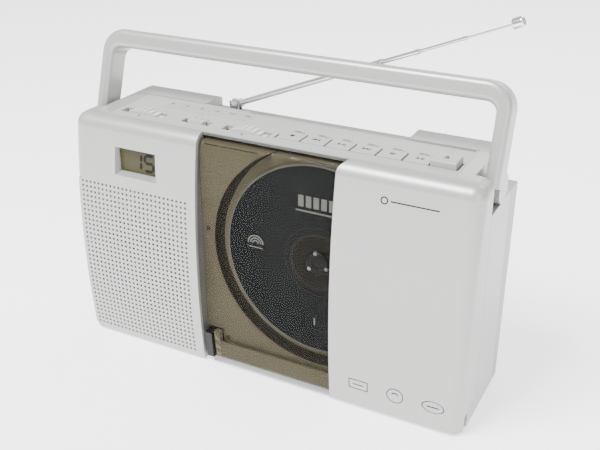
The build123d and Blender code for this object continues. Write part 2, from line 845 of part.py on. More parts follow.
with BuildPart() as disc_deck:
    add(block(deck_x0, deck_x1, deck_y, deck_y + deck_skirt, deck_z0, deck_z1))
    add(
        block(
            deck_x0 + deck_t, deck_x1 - deck_t, deck_y + deck_t, far, deck_z0 + deck_t, deck_z1 - deck_t
        ),
        mode=Mode.SUBTRACT,
    )
    with BuildSketch(Plane.XZ.offset(-deck_y)):
        with Locations((disc_x, disc_z)):
            Circle(well_r + deck_t)
        with Locations(((deck_x0 + deck_x1) / 2, (deck_z0 + deck_z1) / 2)):
            Rectangle(deck_x1 - deck_x0, deck_z1 - deck_z0, mode=Mode.INTERSECT)
    extrude(amount=-(floor_back - deck_y))
    add(rod_y(disc_x, disc_z, well_r, -far, well_floor_y), mode=Mode.SUBTRACT)
    add(rod_y(disc_x, disc_z, turntable_r + 2, -far, far), mode=Mode.SUBTRACT)
    add(block(slot_x0, slot_x1, -far, far, disc_z - 6, disc_z + 6), mode=Mode.SUBTRACT)
    for x in (deck_foot_x, disc_x + deck_foot_x):
        add(block(x, x + 10, low_seam_y + 2, deck_y + deck_skirt, base_z + wall, deck_z0))
    add(deck_limit, mode=Mode.INTERSECT)
    lug_room = door_left + hinge_slot_w + lug_t + 1.2
    add(block(-far, lug_room, -far, low_seam_y + 1, -far, base_z + hinge_slot_h + 0.6), mode=Mode.SUBTRACT)
    add(block(open_x - 4.5, open_x + 4.5, -far, far, panel_under - 8.5, far), mode=Mode.SUBTRACT)
save(disc_deck, "disc_deck")

# ---------------------------------------------------------------- disc and mechanism
disc_rear = disc_y + disc_t
with BuildPart() as disc:
    add(rod_y(disc_x, disc_z, disc_r, disc_y, disc_rear))
    add(rod_y(disc_x, disc_z, disc_bore_r, -far, far), mode=Mode.SUBTRACT)
save(disc, "disc")

with BuildPart() as turntable:
    add(rod_y(disc_x, disc_z, turntable_r, disc_rear, disc_rear + 2.0))
    add(rod_y(disc_x, disc_z, hub_r, disc_y - hub_proud, disc_rear))
    chamfer(turntable.edges().group_by(Axis.Y)[0], 0.8)
    add(rod_y(disc_x, disc_z, 3.2, -far, disc_y - hub_proud + 1.0), mode=Mode.SUBTRACT)
    add(rod_y(disc_x, disc_z, shaft_r, disc_rear, disc_rear + shaft_len))
    with BuildSketch(Plane.XZ.offset(-disc_y)):
        with Locations((disc_x, disc_z)):
            with PolarLocations(hub_r - ball_in, 3, start_angle=ball_angle):
                Circle(ball_r)
    extrude(amount=far, mode=Mode.SUBTRACT)
save(turntable, "turntable")

with BuildPart() as hub_balls:
    with BuildSketch(Plane.XZ.offset(-disc_y)):
        with Locations((disc_x, disc_z)):
            with PolarLocations(hub_r - ball_in, 3, start_angle=ball_angle):
                Circle(ball_r)
    extrude(amount=hub_proud + 0.4)
    fillet(hub_balls.edges().group_by(Axis.Y)[0], ball_r * 0.8)
save(hub_balls, "hub_balls")

rod_zs = (disc_z - rod_gap, disc_z + rod_gap)
screw_z = disc_z - screw_drop
post_right = lens_x + sled_travel + sled_w / 2 + 2
post_left = lens_x - sled_w / 2 - 4.5
with BuildPart() as mechanism_chassis:
    plate_z0 = disc_z - rod_gap - 9
    plate_z1 = disc_z + rod_gap + 9
    add(block(disc_x - 38, post_right + 2.5, chassis_y, chassis_rear, plate_z0, plate_z1))
    add(rod_y(disc_x, disc_z, 3.0, -far, far), mode=Mode.SUBTRACT)
    add(block(slot_x0, slot_x1, -far, far, disc_z - 6, disc_z + 6), mode=Mode.SUBTRACT)
    for z in rod_zs:
        for x in (post_left, post_right):
            add(block(x, x + 2.5, chassis_rear, sled_y + 4, z - 3.5, z + 3.5))
        add(rod_x(sled_y, z, guide_r, -far, far), mode=Mode.SUBTRACT)
    add(block(post_right, post_right + 2.5, chassis_rear, sled_y + 5, screw_z - 5, screw_z + 5))
    add(rod_x(sled_y, screw_z, lead_r + 0.3, -far, far), mode=Mode.SUBTRACT)
save(mechanism_chassis, "mechanism_chassis")

with BuildPart() as dampers:
    for x in (disc_x - 34, post_right - 4):
        for z in (disc_z - rod_gap - 5, disc_z + rod_gap + 5):
            add(rod_y(x, z, 3.5, floor_back, chassis_y))
save(dampers, "dampers")

with BuildPart() as guide_rods:
    for z in rod_zs:
        add(rod_x(sled_y, z, guide_r, post_left, post_right + 2.5))
save(guide_rods, "guide_rods")

with BuildPart() as spindle_motor:
    add(rod_y(disc_x, disc_z, 12.0, chassis_rear, chassis_rear + 10))
    add(rod_y(disc_x, disc_z, shaft_r + run, -far, chassis_rear + 8), mode=Mode.SUBTRACT)
save(spindle_motor, "spindle_motor")

with BuildPart() as pickup_sled:
    add(
        block(
            lens_x - sled_w / 2, lens_x + sled_w / 2, chassis_rear + 0.8, sled_y + 4,
            disc_z - rod_gap - 4, disc_z + rod_gap + 4,
        )
    )
    add(rod_y(lens_x, disc_z, 4.0, disc_rear + 2.0, chassis_rear + 2))
    add(rod_y(lens_x, disc_z, 2.4, disc_rear + 1.2, disc_rear + 2.5))
    for z in rod_zs:
        add(rod_x(sled_y, z, guide_r + run, -far, far), mode=Mode.SUBTRACT)
    add(rod_x(sled_y, screw_z, lead_r + run, -far, far), mode=Mode.SUBTRACT)
save(pickup_sled, "pickup_sled")

with BuildPart() as lead_screw:
    add(rod_x(sled_y, screw_z, lead_r, post_left + 1, post_right + 2.5 + 6))
save(lead_screw, "lead_screw")

with BuildPart() as sled_motor:
    add(rod_x(sled_y, screw_z, 5.8, post_right + 2.5, post_right + 14.5))
    add(rod_x(sled_y, screw_z, lead_r + run, -far, post_right + 2.5 + 6.5), mode=Mode.SUBTRACT)
save(sled_motor, "sled_motor")

# ---------------------------------------------------------------- top panel and controls
recess_z = top_z - recess_depth
key_y1 = key_y0 + key_depth
open_x0 = key_first_x + key_pitch * key_count
step_run = 37.5
step_fall = 28.0
step_x = key_first_x - 1.1
step_y = key_y1 - 5.8
with BuildPart() as top_panel:
    add(block(panel_x0 + fit, panel_x1 - fit, top_seam_y + seam, panel_rear_y, panel_under, top_z))
    with BuildSketch(Plane.XY.offset(recess_z)):
        Polygon(
            (step_x, key_y0 - 1.0),
            (panel_x1 - 1.4, key_y0 - 1.0),
            (panel_x1 - 1.4, far),
            (step_x - (far - step_y) * step_run / step_fall, far),
            (step_x, step_y),
            align=None,
        )
    extrude(amount=far, mode=Mode.SUBTRACT)
    with BuildSketch(Plane.XY.offset(top_z + 1)):
        with Locations(
            ((key_first_x + open_x0 + key_pitch) / 2, (key_y0 + key_y1) / 2),
        ):
            Rectangle(key_pitch * (key_count + 1) + key_gap, key_depth + 2 * seam)
        with Locations((volume_x, control_y), (tuning_x, control_y)):
            Rectangle(wheel_slot, wheel_slot_d)
        with Locations((switch_x, control_y)):
            Rectangle(switch_slot, switch_slot_d)
    extrude(amount=-wall - 2, mode=Mode.SUBTRACT)
    for y in scale_ys:
        add(block(scale_x0, scale_x1, y - 0.4, y + 0.4, top_z - 0.3, far), mode=Mode.SUBTRACT)
save(top_panel, "top_panel")

for index in range(key_count):
    x = key_x(index)
    half = (key_pitch - key_gap) / 2
    with BuildPart() as key:
        add(block(x - half, x + half, key_y0, key_y1, key_under, recess_z + key_rise))
        fillet(key.edges().group_by(Axis.Z)[-1], 0.5)
        add(block(x - 2, x + 2, key_y0 + 4, key_y0 + 8, key_foot, key_under))
    save(key, f"key_{index + 1}")

with BuildPart() as open_button:
    half = (key_pitch - key_gap) / 2
    add(block(open_x - half, open_x + half, key_y0, key_y1, key_under, recess_z + open_rise))
    fillet(open_button.edges().group_by(Axis.Z)[-1], 1.2)
    add(block(open_x - 2, open_x + 2, catch_y + 1.2, key_y1 - 4, key_under - 4.4, key_under - 2.4))
    add(block(open_x - 2, open_x + 2, key_y0 + 4, key_y1 - 4, key_under - 3, key_under))
save(open_button, "open_button")

with BuildPart() as control_board:
    add(block(key_first_x, end_x - wall - 12, key_y0 + 1, key_y1 + 10, board_top - board_t, board_top))
    for index in range(key_count):
        x = key_x(index)
        add(block(x - 3, x + 3, key_y0 + 3, key_y0 + 9, board_top, key_foot - key_travel - 0.3))
save(control_board, "control_board")

wheel_z = top_z + wheel_proud - wheel_r
rib_r = 1.0


def thumb_wheel(x, name):
    """A ribbed wheel on a shaft along Y."""
    with BuildPart() as wheel:
        with BuildSketch(Plane.XZ.offset(-control_y + wheel_t / 2)):
            with Locations((x, wheel_z)):
                Circle(wheel_r)
                with PolarLocations(wheel_r, wheel_ribs):
                    Circle(rib_r, mode=Mode.SUBTRACT)
        extrude(amount=-wheel_t)
        add(rod_y(x, wheel_z, 2.0, control_y, control_y + wheel_t / 2 + 5.6))
    save(wheel, name)


thumb_wheel(volume_x, "volume_wheel")
thumb_wheel(tuning_x, "tuning_wheel")

unit_y = control_y + wheel_t / 2 + 1.0
with BuildPart() as volume_control:
    add(block(volume_x - 9, volume_x + 9, unit_y, unit_y + 8, wheel_z - 9, panel_under))
    add(rod_y(volume_x, wheel_z, 2.0 + run, -far, unit_y + 5), mode=Mode.SUBTRACT)
save(volume_control, "volume_control")

with BuildPart() as tuning_capacitor:
    add(block(tuning_x - 10, tuning_x + 10, unit_y, unit_y + 14, wheel_z - 10, panel_under))
    add(rod_y(tuning_x, wheel_z, 2.0 + run, -far, unit_y + 5), mode=Mode.SUBTRACT)
save(tuning_capacitor, "tuning_capacitor")

plate_top = panel_under - 0.2
slider_half = knob_w / 2 + 2.2
with BuildPart() as switch_knob:
    knob_half = knob_w / 2
    knob_x0 = switch_x - knob_half
    knob_x1 = switch_x + knob_half
    add(block(knob_x0, knob_x1, control_y - 2.7, control_y + 2.7, plate_top, top_z + 1.0))
    for step in (-3, -1.5, 0, 1.5, 3):
        rib_x = switch_x + step
        add(block(rib_x - 0.35, rib_x + 0.35, -far, far, top_z + 0.4, far), mode=Mode.SUBTRACT)
    add(
        block(
            switch_x - slider_half, switch_x + slider_half, control_y - 4, control_y + 4,
            plate_top - 1.2, plate_top,
        )
    )
save(switch_knob, "switch_knob")

with BuildPart() as switch_body:
    body_half = slider_half + switch_travel + 0.4
    add(
        block(
            switch_x - body_half - 1.8, switch_x + body_half + 1.8, control_y - 4.6, control_y + 4.6,
            plate_top - 7.5, panel_under,
        )
    )
    slider_room = block(switch_x - body_half, switch_x + body_half, -far, far, plate_top - 1.4, far)
    add(slider_room, mode=Mode.SUBTRACT)
save(switch_body, "switch_body")

# ---------------------------------------------------------------- boards and power
with BuildPart() as ferrite_rod:
    add(rod_x(ferrite_y, panel_under - ferrite_r, ferrite_r, panel_x0 + 2, panel_x0 + 2 + ferrite_len))
save(ferrite_rod, "ferrite_rod")

board_x = boss_x - boss_r
board_y = boss_y + 1
board_z0 = bay_z1 + bay_wall + 3
capacitors = [(-60, 20, 5, 14), (-46, 20, 5, 14), (20, 26, 4, 11), (50, 26, 4, 11), (-30, 40, 3, 8)]
chips = [(-10, 20, 14, 14), (70, 48, 16, 10), (88, 20, 12, 12)]
with BuildPart() as main_board:
    add(block(-board_x, board_x, board_y, board_y + board_t, board_z0, board_top - 4))
    for x, rise, radius, tall in capacitors:
        add(rod_y(x, board_z0 + rise, radius, board_y - tall, board_y))
    for x, rise, width, height in chips:
        z = board_z0 + rise
        add(block(x - width / 2, x + width / 2, board_y - 2, board_y, z - height / 2, z + height / 2))
save(main_board, "main_board")

trans_y = y_front + 31.6
with BuildPart() as transformer:
    add(block(bay_x1 + 4, bay_x1 + 24, trans_y, trans_y + 30, base_z + wall, base_z + wall + 34))
    fillet(transformer.edges().filter_by(Axis.Z), 1.5)
    add(block(bay_x1 + 6.5, bay_x1 + 21.5, trans_y - 4, trans_y + 34, base_z + wall + 7, base_z + wall + 27))
save(transformer, "transformer")

# ---------------------------------------------------------------- handle
handle_half = handle_w / 2
tilt = radians(handle_tilt)
handle_plane = Plane(
    origin=(0, pivot_y, pivot_z),
    x_dir=(1, 0, 0),
    z_dir=(0, -cos(tilt), sin(tilt)),
)
lean_x = arm_lean * (handle_reach - arm_straight)


def handle_edges(bail, face):
    """The edges round the handle's front face (1) or rear face (-1), above the pivot."""
    places = [(edge, handle_plane.to_local_coords(edge.center())) for edge in bail.edges()]
    return [e for e, at in places if face * (at.Z - arm_offset) > arm_depth / 2 - 0.01 and at.Y > 0.1]


with BuildPart() as handle:
    with BuildSketch(handle_plane.offset(arm_offset - arm_depth / 2)) as outline:
        with BuildLine():
            Polyline(
                (-handle_half, 0),
                (-handle_half, arm_straight),
                (-handle_half + lean_x, handle_reach),
                (handle_half - lean_x, handle_reach),
                (handle_half, arm_straight),
                (handle_half, 0),
                (handle_half - arm_t, 0),
                (handle_half - arm_t, arm_straight),
                (handle_half - arm_t - lean_x, handle_reach - bar_t),
                (-handle_half + arm_t + lean_x, handle_reach - bar_t),
                (-handle_half + arm_t, arm_straight),
                (-handle_half + arm_t, 0),
                close=True,
            )
        make_face()
        fillet(outline.vertices().filter_by(lambda v: v.Y > handle_reach - 0.1), handle_corner_r)
        fillet(outline.vertices().filter_by(lambda v: abs(v.Y - handle_reach + bar_t) < 0.1), handle_inner_r)
        fillet(outline.vertices().filter_by(lambda v: abs(v.Y - arm_straight) < 0.1), handle_knee_r)
    extrude(amount=arm_depth)
    fillet(handle_edges(handle, 1), handle_round)
    fillet(handle_edges(handle, -1), handle_rear_round)
    for side in (-1, 1):
        x0, x1 = sorted((side * handle_half, side * (handle_half - arm_t)))
        add(rod_x(pivot_y, pivot_z, handle_boss_r, x0, x1))
        pin = sorted((side * (notch_x - 5), side * (handle_half - 2.5)))
        add(rod_x(pivot_y, pivot_z, handle_pin_r + run, *pin), mode=Mode.SUBTRACT)
save(handle, "handle")

with BuildPart() as handle_pins:
    for side in (-1, 1):
        pin = sorted((side * (notch_x - wall), side * (handle_half - 3.0)))
        add(rod_x(pivot_y, pivot_z, handle_pin_r, *pin))
save(handle_pins, "handle_pins")

# ---------------------------------------------------------------- antenna
with BuildPart() as antenna_swivel:
    add(rod_z(antenna_x, antenna_y, spigot_r, channel_z - 1.5, channel_z + 1.8))
    add(rod_z(antenna_x, antenna_y, swivel_r, channel_z + 1.8, antenna_z + 2.6))
    fork = block(-far, far, antenna_y - fork_gap / 2, antenna_y + fork_gap / 2, antenna_z - 3.4, far)
    add(fork, mode=Mode.SUBTRACT)
    add(rod_y(antenna_x, antenna_z, tilt_pin_r, antenna_y - swivel_r + 0.4, antenna_y + swivel_r - 0.4))
save(antenna_swivel, "antenna_swivel")

angle = radians(antenna_angle)
antenna_plane = Plane(
    origin=(antenna_x, antenna_y, antenna_z),
    x_dir=(0, 1, 0),
    z_dir=(cos(angle), 0, sin(angle)),
)


def tube(name, start, end, radius, bore, bore_start):
    """One antenna stage, from start to end along the antenna's axis."""
    with BuildPart() as stage:
        with BuildSketch(antenna_plane.offset(start)):
            Circle(radius)
        extrude(amount=end - start)
        if bore:
            with BuildSketch(antenna_plane.offset(bore_start)):
                Circle(bore)
            extrude(amount=end - bore_start, mode=Mode.SUBTRACT)
    save(stage, name)


ends = [base_len]
for out in stage_out:
    ends.append(ends[-1] + out)

with BuildPart() as antenna_base:
    with BuildSketch(antenna_plane.offset(neck)):
        Circle(tube_r[0])
    extrude(amount=base_len - neck)
    with BuildSketch(antenna_plane.offset(neck + 1)):
        Circle(tube_bore[0])
    extrude(amount=base_len, mode=Mode.SUBTRACT)
    with BuildSketch(antenna_plane.offset(-tongue_back)):
        Rectangle(fork_gap - 0.3, 5.2)
    extrude(amount=neck + tongue_back)
    add(block(-far, antenna_x + 12, -far, far, -far, antenna_z - 2.9), mode=Mode.SUBTRACT)
    add(rod_y(antenna_x, antenna_z, tilt_pin_r + run, -far, far), mode=Mode.SUBTRACT)
save(antenna_base, "antenna_base")

for stage in range(2):
    tube(
        f"antenna_stage_{stage + 2}",
        ends[stage + 1] - stage_len[stage],
        ends[stage + 1],
        tube_r[stage + 1],
        tube_bore[stage + 1],
        ends[stage + 1] - stage_len[stage],
    )
with BuildPart() as antenna_rod:
    with BuildSketch(antenna_plane.offset(ends[3])):
        Circle(tip_r)
    extrude(amount=tip_len)
    fillet(antenna_rod.edges(), 1.2)
    with BuildSketch(antenna_plane.offset(ends[3] - stage_len[2])):
        Circle(tube_r[3])
    extrude(amount=stage_len[2] + 1)
save(antenna_rod, "antenna_rod")
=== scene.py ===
"""Looks of the portable radio with the upright disc door: materials, printed marks, trim and light."""

import json
import math

import bmesh
import bpy
from mathutils import Matrix, Vector


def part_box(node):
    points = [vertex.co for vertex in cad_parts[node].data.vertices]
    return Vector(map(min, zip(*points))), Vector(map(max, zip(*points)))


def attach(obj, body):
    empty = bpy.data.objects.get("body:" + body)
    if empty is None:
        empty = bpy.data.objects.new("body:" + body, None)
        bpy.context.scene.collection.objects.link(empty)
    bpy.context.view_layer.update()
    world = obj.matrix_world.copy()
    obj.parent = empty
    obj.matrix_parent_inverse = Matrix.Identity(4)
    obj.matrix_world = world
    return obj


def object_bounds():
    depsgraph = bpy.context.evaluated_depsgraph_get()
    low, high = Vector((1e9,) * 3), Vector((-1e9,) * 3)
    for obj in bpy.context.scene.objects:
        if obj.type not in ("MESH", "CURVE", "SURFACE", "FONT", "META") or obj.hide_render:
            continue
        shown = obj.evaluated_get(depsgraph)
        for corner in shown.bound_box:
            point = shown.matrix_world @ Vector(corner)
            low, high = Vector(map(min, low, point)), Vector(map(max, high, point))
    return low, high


MM = 0.001
UP = (0, 0, 1)
NORTH = (0, 1, 0)
FRONT = (0, -1, 0)

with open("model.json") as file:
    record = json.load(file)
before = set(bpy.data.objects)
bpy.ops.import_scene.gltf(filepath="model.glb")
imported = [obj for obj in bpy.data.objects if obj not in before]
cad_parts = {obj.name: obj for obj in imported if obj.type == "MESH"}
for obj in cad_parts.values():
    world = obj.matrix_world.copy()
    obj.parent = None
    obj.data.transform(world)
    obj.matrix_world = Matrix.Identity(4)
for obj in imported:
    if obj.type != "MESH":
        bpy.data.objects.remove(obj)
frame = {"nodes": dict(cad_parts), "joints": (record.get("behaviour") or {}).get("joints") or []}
cad_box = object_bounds()

# ---------------------------------------------------------------- colours
SILVER = (0.36, 0.36, 0.352)
PANEL = (0.34, 0.34, 0.33)
CASE = (0.38, 0.38, 0.37)
TAUPE = (0.20, 0.175, 0.108)
# A dark used twice: painted shade in the disc well, and the own colour of the disc's moulded rings.
WELL_SHADE_AND_RING = (0.03, 0.027, 0.02)
SMOKE = (0.006, 0.005, 0.003)
SLATE = (0.009, 0.013, 0.016)
OLIVE = (0.045, 0.042, 0.018)
BLACK = (0.010, 0.010, 0.011)
CHARCOAL = (0.06, 0.06, 0.062)
STEEL = (0.52, 0.52, 0.53)
CHROME = (0.80, 0.80, 0.81)
BRASS = (0.62, 0.46, 0.20)
GREEN = (0.03, 0.13, 0.06)
IRON = (0.12, 0.12, 0.125)
INK = (0.012, 0.012, 0.013)
PALE_INK = (0.30, 0.30, 0.27)
WHITE = (0.5, 0.5, 0.49)


# ---------------------------------------------------------------- material helpers
class Surface:
    """A Principled material with its nodes at hand."""

    def __init__(self, name, color, roughness, metallic=0.0, **sockets):
        self.material = bpy.data.materials.new(name)
        self.material.use_nodes = True
        self.tree = self.material.node_tree
        self.shader = self.tree.nodes["Principled BSDF"]
        self.color = color
        self.shader.inputs["Metallic"].default_value = metallic
        self.shader.inputs["Base Color"].default_value = (*color, 1.0)
        self.shader.inputs["Roughness"].default_value = roughness
        for socket, value in sockets.items():
            self.shader.inputs[socket.replace("_", " ")].default_value = value
        self.place = self.node("ShaderNodeTexCoord").outputs["Object"]

    def node(self, kind, **settings):
        made = self.tree.nodes.new(kind)
        for name, value in settings.items():
            setattr(made, name, value)
        return made

    def link(self, output, socket):
        self.tree.links.new(output, socket)

    def noise(self, scale, detail=4.0, stretch=None):
        """Noise in metres, stretched along an axis if asked."""
        texture = self.node("ShaderNodeTexNoise")
        texture.inputs["Scale"].default_value = scale
        texture.inputs["Detail"].default_value = detail
        source = self.place
        if stretch:
            mapping = self.node("ShaderNodeMapping")
            mapping.inputs["Scale"].default_value = stretch
            self.link(source, mapping.inputs["Vector"])
            source = mapping.outputs["Vector"]
        self.link(source, texture.inputs["Vector"])
        return texture.outputs["Fac"]

    def vary_color(self, factor, amount):
        """Lighter and darker patches of the base colour."""
        ramp = self.node("ShaderNodeValToRGB")
        ramp.color_ramp.elements[0].position = 0.3
        ramp.color_ramp.elements[1].position = 0.7
        ramp.color_ramp.elements[0].color = (*[c * (1 - amount) for c in self.color], 1)
        ramp.color_ramp.elements[1].color = (*[min(1, c * (1 + amount)) for c in self.color], 1)
        self.link(factor, ramp.inputs["Fac"])
        self.link(ramp.outputs["Color"], self.shader.inputs["Base Color"])
        return ramp

    def vary_roughness(self, factor, low, high):
        spread = self.node("ShaderNodeMapRange")
        spread.inputs["To Min"].default_value = low
        spread.inputs["To Max"].default_value = high
        self.link(factor, spread.inputs["Value"])
        self.link(spread.outputs["Result"], self.shader.inputs["Roughness"])

    def bump(self, height, depth, strength=0.6):
        """Relief of a given depth in metres. Called again, it adds to the relief before it."""
        relief = self.node("ShaderNodeBump")
        relief.inputs["Strength"].default_value = strength
        relief.inputs["Distance"].default_value = depth
        self.link(height, relief.inputs["Height"])
        normal = self.shader.inputs["Normal"]
        if normal.is_linked:
            self.link(normal.links[0].from_socket, relief.inputs["Normal"])
        self.link(relief.outputs["Normal"], normal)

    def radius(self, centre, axes):
        """Distance from a centre line, where axes picks the two directions that count."""
        shift = self.node("ShaderNodeVectorMath", operation="SUBTRACT")
        shift.inputs[1].default_value = centre
        keep = self.node("ShaderNodeVectorMath", operation="MULTIPLY")
        keep.inputs[1].default_value = axes
        size = self.node("ShaderNodeVectorMath", operation="LENGTH")
        self.link(self.place, shift.inputs[0])
        self.link(shift.outputs["Vector"], keep.inputs[0])
        self.link(keep.outputs["Vector"], size.inputs[0])
        return size.outputs["Value"]


def metallic_paint(name, color, roughness):
    """Satin paint with fine metal flake and a faint orange peel."""
    paint = Surface(name, color, roughness, metallic=0.35, Coat_Weight=0.12, Coat_Roughness=0.3)
    paint.vary_color(paint.noise(9000.0, 2.0), 0.05)
    paint.vary_roughness(paint.noise(60.0), roughness - 0.04, roughness + 0.05)
    paint.bump(paint.noise(900.0, 2.0), 0.00002, 0.25)
    return paint.material


def moulding(name, color, roughness, depth=0.00004, grain=2600.0, specular=0.5):
    """Moulded plastic with a spark-eroded grain, and handling marks in its gloss."""
    plastic = Surface(name, color, roughness, Specular_IOR_Level=specular)
    plastic.vary_color(plastic.noise(35.0), 0.03)
    plastic.vary_roughness(plastic.noise(120.0), roughness - 0.07, roughness + 0.07)
    plastic.bump(plastic.noise(grain, 3.0), depth, 0.5)
    return plastic.material


def metal(name, color, roughness, stretch=None, depth=0.00001):
    """Drawn or turned metal, with fine lines along the way it was worked."""
    bare = Surface(name, color, roughness, metallic=1.0)
    lines = bare.noise(1500.0, 3.0, stretch)
    bare.vary_color(lines, 0.05)
    bare.vary_roughness(bare.noise(300.0), roughness - 0.03, roughness + 0.06)
    bare.bump(lines, depth, 0.3)
    return bare.material


def smoked_clear(name):
    """Tinted clear plastic, polished, with faint wipe marks."""
    clear = Surface(name, SMOKE, 0.06, Alpha=0.30, Specular_IOR_Level=0.08)
    clear.vary_color(clear.noise(25.0), 0.06)
    clear.vary_roughness(clear.noise(45.0, 5.0, (1.0, 1.0, 0.3)), 0.04, 0.11)
    clear.bump(clear.noise(30.0, 2.0), 0.00006, 0.15)
    return clear.material


def disc_face(name, centre):
    """Printed disc: a clear hub zone, a moulded ring, dark print and a bare rim."""
    disc_r = 60
    face = Surface(name, SLATE, 0.25, Specular_IOR_Level=0.12)
    away = face.radius(centre, (1, 0, 1))
    spread = face.node("ShaderNodeMapRange")
    spread.inputs["From Max"].default_value = disc_r * MM
    face.link(away, spread.inputs["Value"])
    bands = face.node("ShaderNodeValToRGB")
    bands.color_ramp.interpolation = "CONSTANT"
    stops = [
        (0.0, (0.014, 0.013, 0.010)), (17.0, (0.03, 0.03, 0.025)),
        (18.2, SLATE), (58.6, (0.20, 0.19, 0.15)),
    ]
    for index, (at, color) in enumerate(stops):
        if index < 2:
            element = bands.color_ramp.elements[index]
        else:
            element = bands.color_ramp.elements.new(at / disc_r)
        element.position = at / disc_r
        element.color = (*color, 1)
    face.link(spread.outputs["Result"], bands.inputs["Fac"])
    tint = face.node("ShaderNodeMixRGB", blend_type="MULTIPLY")
    tint.inputs["Fac"].default_value = 0.5
    cloud = face.node("ShaderNodeValToRGB")
    cloud.color_ramp.elements[0].color = (0.8, 0.85, 0.9, 1)
    cloud.color_ramp.elements[1].color = (1.0, 0.98, 0.92, 1)
    face.link(face.noise(18.0, 2.0), cloud.inputs["Fac"])
    face.link(bands.outputs["Color"], tint.inputs["Color1"])
    face.link(cloud.outputs["Color"], tint.inputs["Color2"])
    face.link(tint.outputs["Color"], face.shader.inputs["Base Color"])
    face.vary_roughness(face.noise(90.0), 0.17, 0.28)
    return face.material


def display(name):
    """Reflective liquid crystal: olive, matt, with a fine cell pattern."""
    glass = Surface(name, OLIVE, 0.28, Specular_IOR_Level=0.15)
    glass.vary_color(glass.noise(40.0, 2.0), 0.05)
    cells = glass.node("ShaderNodeTexChecker")
    cells.inputs["Scale"].default_value = 2500.0
    glass.link(glass.place, cells.inputs["Vector"])
    glass.bump(cells.outputs["Fac"], 0.00001, 0.12)
    glass.vary_roughness(glass.noise(70.0), 0.24, 0.33)
    return glass.material


def circuit_board(name):
    """Green lacquer over copper tracks."""
    board = Surface(name, GREEN, 0.4, Coat_Weight=0.4, Coat_Roughness=0.2)
    tracks = board.node("ShaderNodeTexVoronoi", distance="MANHATTAN", feature="DISTANCE_TO_EDGE")
    tracks.inputs["Scale"].default_value = 260.0
    board.link(board.place, tracks.inputs["Vector"])
    ramp = board.vary_color(tracks.outputs["Distance"], 0.4)
    ramp.color_ramp.elements[0].position = 0.04
    ramp.color_ramp.elements[1].position = 0.09
    board.bump(tracks.outputs["Distance"], 0.00003, 0.4)
    board.vary_roughness(board.noise(150.0), 0.32, 0.5)
    return board.material


def laminations(name):
    """Stacked iron sheets, seen as fine layers."""
    core = Surface(name, IRON, 0.5, metallic=0.7)
    layers = core.node("ShaderNodeTexWave", bands_direction="X")
    layers.inputs["Scale"].default_value = 320.0
    core.link(core.place, layers.inputs["Vector"])
    core.bump(layers.outputs["Fac"], 0.0001, 0.6)
    core.vary_color(core.noise(80.0), 0.15)
    core.vary_roughness(core.noise(200.0), 0.4, 0.62)
    return core.material


# ---------------------------------------------------------------- materials
disc_low, disc_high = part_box("disc")
disc_centre = (disc_low + disc_high) / 2
ALONG_X = (0.05, 1.0, 1.0)

silver = metallic_paint("silver_paint", SILVER, 0.36)
handle_silver = metallic_paint("handle_paint", SILVER, 0.33)
panel_grey = moulding("panel_grey", PANEL, 0.52)
key_grey = moulding("key_grey", PANEL, 0.44, depth=0.00002)
case_grey = moulding("case_grey", CASE, 0.5)
taupe = moulding("deck_taupe", TAUPE, 0.5, specular=0.2)
# Painted shade for the well_shade piece; the disc's rings also use it as their own dark colour.
shade_and_ring_dark = moulding("shade_and_ring_dark", WELL_SHADE_AND_RING, 0.45, specular=0.2)
smoked = smoked_clear("smoked_window")
slate_print = disc_face("disc_print", disc_centre)
olive_display = display("display")
black = moulding("black_plastic", BLACK, 0.42, depth=0.00002, specular=0.25)
charcoal = moulding("charcoal_plastic", CHARCOAL, 0.5)
wheel_white = moulding("wheel_white", WHITE, 0.38, depth=0.00002)
rubber = moulding("rubber", BLACK, 0.75, depth=0.00006, grain=1800.0)
felt = moulding("felt", BLACK, 0.95, depth=0.0002, grain=1500.0)
cone_paper = moulding("cone_paper", (0.03, 0.03, 0.03), 0.85, depth=0.0002, grain=900.0)
ferrite = moulding("ferrite", (0.035, 0.03, 0.03), 0.6, depth=0.00005)
steel = metal("steel", STEEL, 0.28)
chrome = metal("chrome", CHROME, 0.10, stretch=ALONG_X)
brass = metal("brass", BRASS, 0.25)
iron = laminations("laminations")
board_green = circuit_board("circuit_board")
ink = moulding("ink", INK, 0.6, depth=0.00001, specular=0.1)
label_grey = moulding("label", (0.46, 0.46, 0.45), 0.3, depth=0.00001)
pale_ink = moulding("pale_ink", PALE_INK, 0.5, depth=0.00001)

node_materials = {
    silver: ["speaker_panel", "speaker_grille", "middle_case", "door_cover"],
    handle_silver: ["handle"],
    panel_grey: ["top_panel"],
    key_grey: ["open_button"] + [f"key_{i}" for i in range(1, 7)],
    case_grey: ["rear_case", "battery_door"],
    taupe: ["disc_deck", "door_fittings"],
    smoked: ["door_window"],
    slate_print: ["disc"],
    olive_display: ["lcd_glass"],
    black: ["turntable", "pickup_sled", "headphone_jack", "mains_inlet", "hinge_blocks"],
    charcoal: [
        "door_liner", "mechanism_chassis", "battery_bay",
        "volume_control", "tuning_capacitor", "switch_body",
    ],
    wheel_white: ["volume_wheel", "tuning_wheel", "switch_knob"],
    rubber: ["feet", "dampers"],
    felt: ["speaker_gasket"],
    cone_paper: ["speaker_cone"],
    ferrite: ["ferrite_rod"],
    steel: [
        "speaker_basket", "case_screws", "hinge_pins", "guide_rods", "spindle_motor", "sled_motor",
        "hub_balls", "lead_screw", "handle_pins",
    ],
    chrome: ["antenna_swivel", "antenna_base", "antenna_stage_2", "antenna_stage_3", "antenna_rod"],
    brass: ["battery_contacts", "mains_pins"],
    iron: ["transformer", "speaker_magnet"],
    board_green: ["main_board", "control_board"],
}
for material, names in node_materials.items():
    for name in names:
        slots = frame["nodes"][name].data.materials
        slots.clear()
        slots.append(material)


